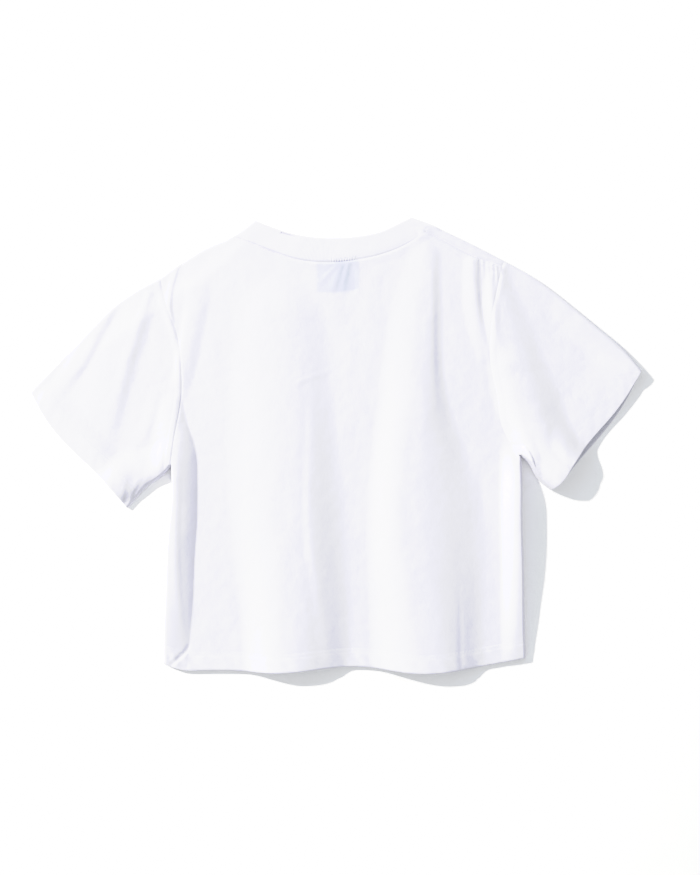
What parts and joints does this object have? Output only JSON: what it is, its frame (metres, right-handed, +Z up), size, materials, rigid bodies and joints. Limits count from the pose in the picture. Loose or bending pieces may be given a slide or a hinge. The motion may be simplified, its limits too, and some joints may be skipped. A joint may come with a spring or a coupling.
{
  "type": "crop top",
  "caption": "Boxy short-sleeved cropped jersey top with a rib neckband, laid flat with its back up, in soft waves that leave the hem and cuffs open.",
  "frame": {"origin": "on the surface that the top lies on, under the middle of its outline", "axes": "+Z up off the surface, +Y from the hem to the neck, +X from the wearer's left sleeve to the wearer's right sleeve, seen from the back"},
  "size_m": [0.6409, 0.4773, 0.025],
  "materials": {
    "jersey": "white fine single jersey, matt",
    "rib": "white fine rib knit, matt",
    "label": "bare woven satin tab, soft sheen"
  },
  "bodies": {
    "root": {"back": "jersey", "front": "jersey", "sleeve_left": "jersey", "sleeve_right": "jersey", "neckband": "rib", "neck_label": "label"}
  },
  "joints": []
}
